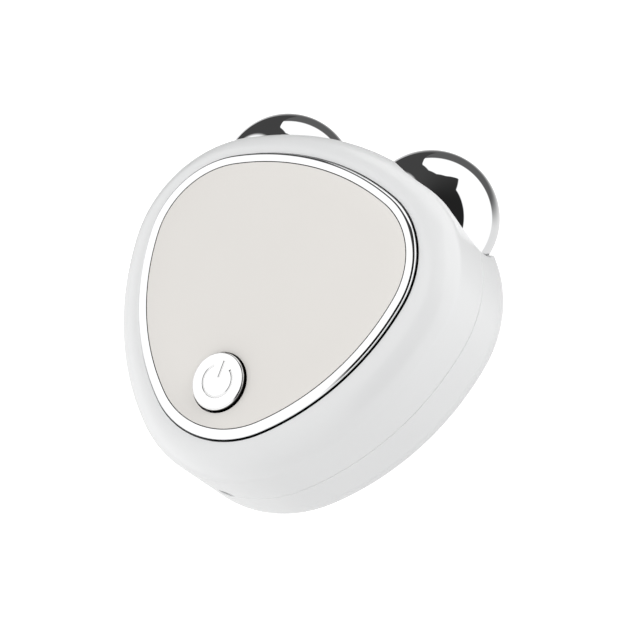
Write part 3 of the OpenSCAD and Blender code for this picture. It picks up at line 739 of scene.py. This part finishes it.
class Value:
    """A shader socket that takes part in sums: each operation adds a Math node."""

    def __init__(self, finish, socket):
        self.finish, self.socket = finish, socket

    def math(self, operation, *terms):
        return self.finish.add("ShaderNodeMath", {"operation": operation}, dict(enumerate(terms)))

    def __add__(self, other):
        return self.math("ADD", self, other)

    def __sub__(self, other):
        return self.math("SUBTRACT", self, other)

    def __rsub__(self, other):
        return self.math("SUBTRACT", other, self)

    def __mul__(self, other):
        return self.math("MULTIPLY", self, other)

    __radd__, __rmul__ = __add__, __mul__

    def over(self, low, high):
        """0 below low, 1 above high, and smooth between."""
        return self.finish.add("ShaderNodeMapRange", {"interpolation_type": "SMOOTHSTEP"},
                               {"Value": self, "From Min": low, "From Max": high})


class Finish:
    """One material: its shader, with constants set on its own sockets, and the nodes that vary it."""

    def __init__(self, name, tree=None, **constants):
        if tree is None:
            self.material = bpy.data.materials.new(name)
            self.material.use_nodes = True
            tree = self.material.node_tree
            self.shader = next(n for n in tree.nodes if n.type == "BSDF_PRINCIPLED")
            for socket, value in constants.items():
                self.shader.inputs[socket.replace("_", " ")].default_value = value
        self.tree = tree

    def add(self, kind, settings=(), sockets=(), output=0):
        node = self.tree.nodes.new(kind)
        for name, value in dict(settings).items():
            if name == "stops":
                for stop, (place, shade_of) in zip(self.stops_of(node, len(value)), value):
                    stop.position, stop.color = place, shade_of
            else:
                setattr(node, name, value)
        for name, value in dict(sockets).items():
            if isinstance(value, Value):
                self.tree.links.new(value.socket, node.inputs[name])
            else:
                node.inputs[name].default_value = value
        return Value(self, node.outputs[output])

    @staticmethod
    def stops_of(node, count):
        stops = node.color_ramp.elements
        while len(stops) < count:
            stops.new(1.0)
        return stops

    def place(self):
        return self.add("ShaderNodeTexCoord", output="Object")

    def parts(self, vector):
        node = self.tree.nodes.new("ShaderNodeSeparateXYZ")
        self.tree.links.new(vector.socket, node.inputs[0])
        return [Value(self, part) for part in node.outputs]

    def upward(self):
        """1 where the surface faces straight up, 0 on an upright wall."""
        return self.parts(self.add("ShaderNodeTexCoord", output="Normal"))[2]

    def noise(self, scale, detail=2.0, rough=0.5):
        """Even noise round 0.5. scale is in cells per metre."""
        return self.add("ShaderNodeTexNoise", {}, {"Vector": self.place(), "Scale": scale,
                                                   "Detail": detail, "Roughness": rough})

    def mix(self, factor, first, second):
        """A colour between two others. The node's first sockets are for plain numbers and vectors."""
        return self.add("ShaderNodeMix", {"data_type": "RGBA"}, {0: factor, 6: first, 7: second}, output=2)

    def drive(self, socket, value):
        self.tree.links.new(value.socket, self.shader.inputs[socket])
        return self

    def relief(self, height, depth):
        """Bump from a height of 0 to 1 that stands for a depth in metres."""
        return self.drive("Normal", self.add("ShaderNodeBump", {}, {"Height": height, "Distance": depth,
                                                                    "Strength": 1.0}))


def grey(level):
    return (level, level, level, 1)


SHADOW = (0.012, 0.012, 0.013, 1)


def white_gloss():
    """White moulding. The groove round the ring is coloured near black: painted shade in the recess."""
    f = Finish("white_gloss", Specular_IOR_Level=0.5, IOR=1.5)
    z, up = f.parts(f.place())[2], f.upward()
    floor = TOP_Z - GROOVE_T
    # painted shade: the groove's walls and floor round the ring are coloured near black
    wall = z.over(floor - 0.03 * MM, floor) * (1 - up.over(0.3, 0.6))
    bottom = z.over(floor - 0.03 * MM, floor - 0.01 * MM) * (1 - z.over(floor, floor + 0.05 * MM))
    painted_groove_shade = wall.math("MAXIMUM", wall, bottom * up.over(0.98, 0.995))
    white = f.mix(f.noise(90, 2), (0.83, 0.835, 0.84, 1), (0.85, 0.855, 0.855, 1))
    f.drive("Base Color", f.mix(painted_groove_shade, white, SHADOW))
    f.drive("Roughness", f.noise(700, 3) * 0.06 + 0.17)
    return f.relief(f.noise(420, 1), 0.000012)


def panel():
    """Satin off-white sheet. Its cut edge is coloured near black: painted shade in the gap beside the ring.
    """
    f = Finish("panel", IOR=1.48)
    sheet = f.mix(f.noise(70, 2), (0.825, 0.8, 0.765, 1), (0.845, 0.82, 0.785, 1))
    # painted shade: faces that don't look up, the plate's cut edge, are coloured near black
    f.drive("Base Color", f.mix(f.upward().over(0.35, 0.75), SHADOW, sheet))
    f.drive("Roughness", f.noise(1500, 3) * 0.08 + 0.33)
    return f.relief(f.noise(5200, 2), 0.000006)


def chrome(name, level, low, high, depth):
    """Bright metal whose roughness wanders between low and high."""
    f = Finish(name, Metallic=1.0)
    f.drive("Base Color", f.mix(f.noise(120, 2), (level, level * 1.004, level * 1.01, 1),
                                (level * 0.985, level * 0.99, level, 1)))
    f.drive("Roughness", f.noise(160, 4, 0.6) * (high - low) + low)
    return f.relief(f.noise(260, 1), depth)


def button_chrome():
    """Chrome with a grey, duller power mark, and a side coloured near black: painted shade and painted dark
    reflection.
    """
    f = Finish("button_chrome", Metallic=1.0)
    (_, y, z), up = f.parts(f.place()), f.upward()
    depth = y * SLOPE + (CAP_Z - BUTTON.y * SLOPE) - z            # below the cap's leaned face
    etched = depth.over(0.01 * MM, 0.05 * MM) * (1 - depth.over(MARK_DEPTH, MARK_DEPTH + 0.03 * MM))
    etched = etched * up.over(0.4, 0.5)
    # painted shade and painted dark reflection: the cap's upright side is coloured near black
    side = 1 - up.over(0.02, 0.5)
    f.drive("Base Color", f.mix(side, f.mix(etched, grey(0.9), grey(0.78)), grey(0.03)))
    f.drive("Roughness", etched * 0.1 + 0.05)
    return f.relief(f.noise(260, 1), 0.000001)


def plain(name, colour, spread, scale, rough, metallic=0.0, depth=0.00001, grain=3000):
    """One colour that darkens by spread in patches. scale is of the patches, grain of the relief."""
    f = Finish(name, Metallic=metallic)
    darker = tuple(c * (1 - spread) for c in colour[:3]) + (1,)
    f.drive("Base Color", f.mix(f.noise(scale, 3), darker, colour))
    f.drive("Roughness", f.noise(scale * 4, 3) * 0.12 + (rough - 0.06))
    return f.relief(f.noise(grain, 2), depth)


finishes = {
    "white_gloss": white_gloss(),
    "panel": panel(),
    "ring_chrome": chrome("ring_chrome", 0.9, 0.03, 0.07, 0.000002),
    "button_chrome": button_chrome(),
    "ball_chrome": chrome("ball_chrome", 0.88, 0.01, 0.04, 0.0000005),
    "film": plain("film", (0.7, 0.7, 0.66, 1), 0.1, 300, 0.4),
    "spring_steel": plain("spring_steel", (0.6, 0.6, 0.62, 1), 0.15, 900, 0.25, 1.0, 0.000002),
    "screw_steel": plain("screw_steel", (0.5, 0.5, 0.52, 1), 0.2, 700, 0.32, 1.0, 0.000004),
    "axle_steel": plain("axle_steel", (0.66, 0.66, 0.67, 1), 0.08, 500, 0.16, 1.0, 0.000001),
    "nylon": plain("nylon", (0.82, 0.79, 0.7, 1), 0.05, 400, 0.42),
    "bronze": plain("bronze", (0.62, 0.4, 0.2, 1), 0.35, 2600, 0.38, 1.0, 0.00001),
    "contact_gold": plain("contact_gold", (0.85, 0.62, 0.28, 1), 0.08, 600, 0.24, 1.0, 0.000002),
    "board_green": plain("board_green", (0.02, 0.16, 0.07, 1), 0.3, 500, 0.3),
    "black_plastic": plain("black_plastic", (0.02, 0.02, 0.022, 1), 0.25, 900, 0.5),
    "switch_grey": plain("switch_grey", (0.12, 0.12, 0.13, 1), 0.2, 900, 0.45),
    "ceramic_tan": plain("ceramic_tan", (0.5, 0.38, 0.24, 1), 0.2, 1500, 0.5),
    "socket_steel": plain("socket_steel", (0.6, 0.61, 0.62, 1), 0.12, 800, 0.28, 1.0, 0.000003),
    "battery_foil": plain("battery_foil", (0.66, 0.67, 0.69, 1), 0.1, 250, 0.36, 1.0, 0.00002, 900),
    "foam": plain("foam", (0.05, 0.05, 0.05, 1), 0.5, 2200, 0.9, 0.0, 0.0001, 2500),
    "plug_white": plain("plug_white", (0.8, 0.8, 0.77, 1), 0.05, 500, 0.4),
    "lead_red": plain("lead_red", (0.55, 0.03, 0.02, 1), 0.1, 700, 0.4),
}


def wear(piece, slot):
    piece.data.materials.clear()
    piece.data.materials.append(finishes[slot].material)


def stand_in(piece, node, body, slot):
    """A finer piece takes a node's place."""
    wear(piece, slot)
    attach(piece, body)
    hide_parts(node)
    return piece


stand_in(make_front_shell(), "front_shell", "housing", "white_gloss")
stand_in(make_rear_shell(), "rear_shell", "housing", "white_gloss")
stand_in(make_trim_ring(), "trim_ring", "housing", "ring_chrome")
stand_in(make_face_plate(), "face_plate", "housing", "panel")
stand_in(make_power_button(), "power_button", "power_button", "button_chrome")
for side in BALL_MIDDLES:
    stand_in(make_ball(side), "ball_" + side, "ball_" + side, "ball_chrome")

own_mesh(stand_in(make_return_spring(), "return_spring", "housing", "spring_steel"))

NODE_FINISH = {
    "screw_plugs": "white_gloss", "plate_film": "film",
    "button_guide": "nylon", "axle_bracket": "nylon", "main_board": "board_green",
    "control_chip": "black_plastic", "switch_plunger": "black_plastic", "socket_pin": "contact_gold",
    "pulse_coil": "black_plastic", "switch_body": "switch_grey", "board_parts": "ceramic_tan",
    "charging_socket": "socket_steel", "battery": "battery_foil", "battery_pad": "foam",
    "battery_plug": "plug_white", "battery_leads": "lead_red",
    "guide_screws": "screw_steel", "board_screws": "screw_steel", "bracket_screws": "screw_steel",
    "housing_screws": "screw_steel",
}
for side in ("left", "right"):
    NODE_FINISH.update({"axle_" + side: "axle_steel", "axle_nut_" + side: "axle_steel",
                        "washer_" + side: "nylon", "bush_" + side: "bronze",
                        "contact_spring_" + side: "contact_gold"})
for node, slot in NODE_FINISH.items():
    wear(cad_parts[node], slot)


# ---- Camera, floor and light ----

UP, BACK = (Vector(way).normalized() for way in ((-0.230, 0.900, 0.371), (0.568, -0.185, 0.802)))
LOOKED_AT, DISTANCE = Vector((0, -0.7, 26.6)) * MM, 564.5 * MM
SHIFT = (0.0782, -0.0441)


def make_camera():
    """A long lens, shifted so that the device lies a little left of the picture's middle."""
    right = UP.cross(BACK).normalized()
    up = BACK.cross(right)
    camera = bpy.data.cameras.new("camera")
    camera.lens, camera.sensor_width = 200, 36
    camera.clip_start, camera.clip_end = 0.01, 50
    camera.shift_x, camera.shift_y = SHIFT
    holder = bpy.data.objects.new("camera", camera)
    turn = Matrix((right, up, BACK)).transposed().to_4x4()
    holder.matrix_world = Matrix.Translation(LOOKED_AT + DISTANCE * BACK) @ turn
    bpy.context.scene.collection.objects.link(holder)
    bpy.context.scene.camera = holder


def make_floor():
    """A white light table: it shines a little itself."""
    half = 3.0
    corners = ((-half, -half), (half, -half), (half, half), (-half, half))
    floor = new_piece("floor", [(x, y, 0) for x, y in corners], [(0, 1, 2, 3)])
    f = Finish("floor", Specular_IOR_Level=0.1, Emission_Strength=1.0)
    seen = f.add("ShaderNodeLightPath", output="Is Camera Ray")
    f.drive("Emission Color", f.mix(seen, grey(0.5), grey(0.9)))
    f.drive("Base Color", f.mix(f.noise(3, 2), grey(0.4), grey(0.42)))
    f.drive("Roughness", f.noise(40, 2) * 0.1 + 0.8)
    floor.data.materials.append(f.material)
    floor.visible_glossy = False      # bright metal shows the surroundings instead


# The dark screen in the white room, in degrees. Turn is 0 towards the balls and 90 to the right, and rise
# is above the horizon. The screen's lower edge goes through (turn, rise) places.
LOWER_EDGE = ((-36, -30), (-33, -5), (-29, 13), (-16, 25), (-2, 27), (9, 20), (17.5, 5), (36, 19), (58, 12),
              (72, 7), (93, -1), (135, -6))
RISE_LOW, RISE_HIGH = -30, 60                                   # what the ramp's black and white stand for
LEFT_EDGE, LEFT_LEAN, RIGHT_EDGE, UPPER_EDGE = (-70, -62), 0.75, (120, 140), (57, 63)
AWAY = -BACK                                                    # the way the camera looks
ROOM_LIGHT = 1.17


def make_surroundings():
    """A white room with a dark screen above the lower edge, and darkness behind the device as the camera
    looks at it. The camera itself sees only the white: the rest shapes reflections and light."""
    world = bpy.data.worlds.new("surroundings")
    bpy.context.scene.world = world
    world.use_nodes = True
    w = Finish("surroundings", world.node_tree)
    background = next(n for n in w.tree.nodes if n.type == "BACKGROUND")
    way = w.add("ShaderNodeTexCoord", output="Generated")
    x, y, z = w.parts(way)
    turn = x.math("ARCTAN2", x, y) * (180 / math.pi)
    rise = z.math("ARCSINE", z) * (180 / math.pi)
    span = RISE_HIGH - RISE_LOW
    stops = [(0.5 + at / 360, grey((height - RISE_LOW) / span)) for at, height in LOWER_EDGE]
    line = w.add("ShaderNodeValToRGB", {"stops": stops}, {"Fac": turn * (1 / 360) + 0.5})
    above = (rise - RISE_LOW - line * span).over(-0.5, 1.5)
    left = (turn - rise * LEFT_LEAN).over(*LEFT_EDGE)
    screen = above * left * (1 - turn.over(*RIGHT_EDGE)) * (1 - rise.over(*UPPER_EDGE))
    screen = screen * (0.95 + 0.035 * turn.over(-30, 60))      # a little darker on the right
    along = x * AWAY.x + y * AWAY.y + z * AWAY.z
    behind = along.over(0.50, 0.55) * (0.3 + 0.6 * y.over(0.3, 0.65))      # darker beyond the balls
    dark = screen.math("MAXIMUM", screen, behind)
    seen = w.add("ShaderNodeLightPath", output="Is Camera Ray")
    level = (1 - dark * (1 - seen)) * ROOM_LIGHT
    w.tree.links.new(level.socket, background.inputs["Strength"])
    background.inputs["Color"].default_value = (1, 1, 1, 1)


def make_lamp(name, spot, aim, size, power):
    """A soft round lamp that doesn't show in bright metal."""
    lamp = bpy.data.lights.new(name, "AREA")
    lamp.shape, lamp.size, lamp.energy = "DISK", size, power
    holder = bpy.data.objects.new(name, lamp)
    way = (Vector(aim) - Vector(spot)).normalized()
    holder.matrix_world = Matrix.Translation(spot) @ way.to_track_quat("-Z", "Y").to_matrix().to_4x4()
    holder.visible_glossy = False
    bpy.context.scene.collection.objects.link(holder)


make_camera()
make_floor()
make_surroundings()
make_lamp("key", spot=(0.24, 0.2, 0.13), aim=(0, 0, 0.015), size=0.25, power=0.45)
bpy.context.scene.view_settings.view_transform = "Standard"
